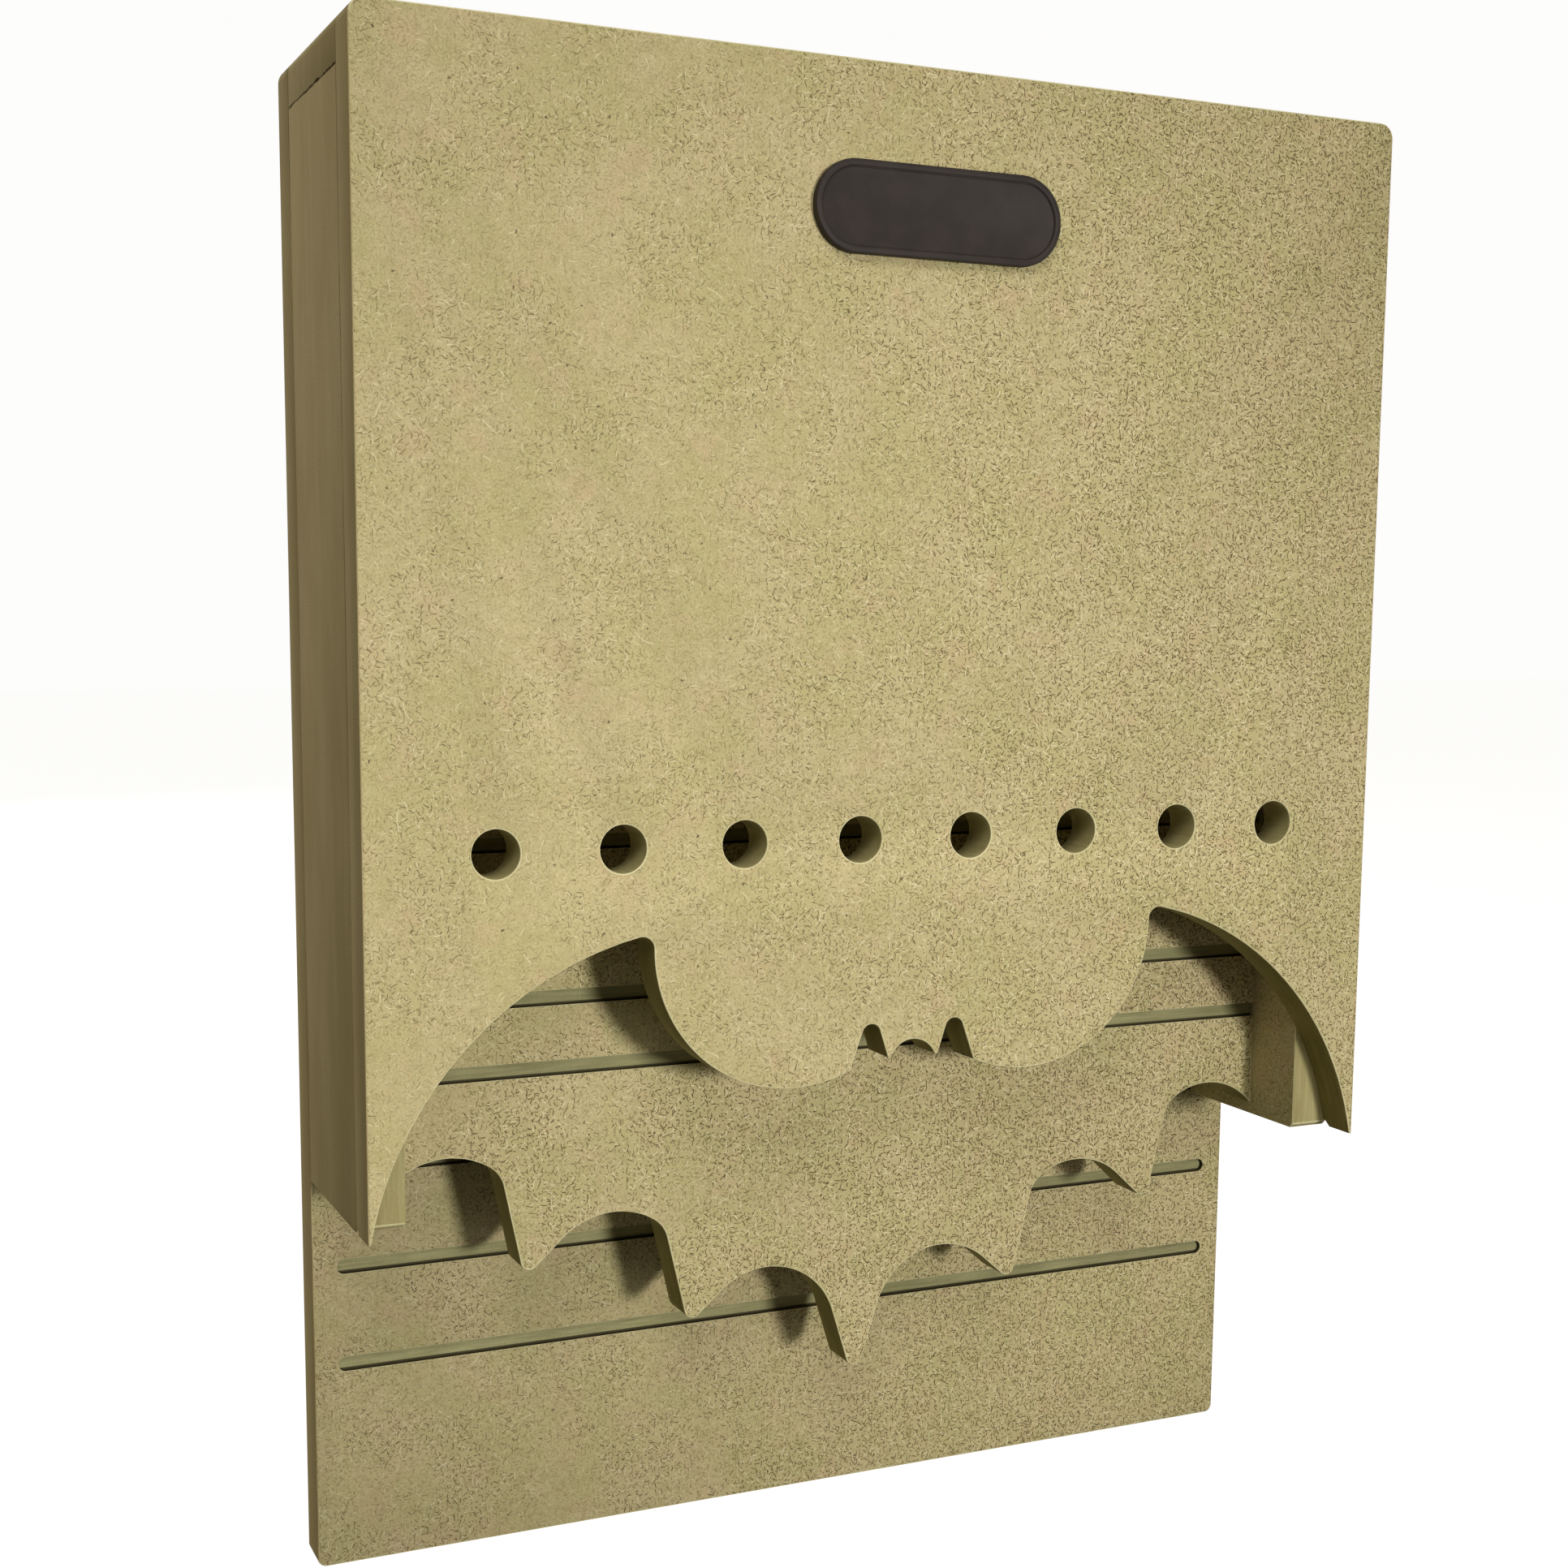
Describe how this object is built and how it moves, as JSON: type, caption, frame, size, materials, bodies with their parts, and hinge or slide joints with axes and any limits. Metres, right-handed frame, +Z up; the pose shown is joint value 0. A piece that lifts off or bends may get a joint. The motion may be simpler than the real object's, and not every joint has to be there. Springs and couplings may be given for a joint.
{
  "type": "bat house",
  "caption": "Flat wall-hung bat house with a bat-shaped entrance cut-out, a scalloped inner baffle, a grooved landing board and a row of vent holes.",
  "frame": {"origin": "on the back face, midway between the two hanging points, 60 mm below the top", "axes": "+X to the right seen from the front, +Y into the wall, +Z up"},
  "size_m": [0.36, 0.098, 0.487],
  "materials": {
    "fibreboard": "matte, fine pressed fibres, with smoother cut edges",
    "beech": "turned, plain",
    "zinc_steel": "bright zinc plated",
    "plaque": "satin, dark brown"
  },
  "bodies": {
    "root": {"back_board": "fibreboard", "front_board": "fibreboard", "left_side_board": "fibreboard", "right_side_board": "fibreboard", "top_board": "fibreboard", "baffle_board": "fibreboard", "front_dowels": "beech", "top_dowels": "beech", "baffle_dowels": "beech", "back_screws": "zinc_steel", "left_hanger_plate": "zinc_steel", "right_hanger_plate": "zinc_steel", "hanger_screws": "zinc_steel", "blank_plaque": "plaque"}
  },
  "joints": []
}
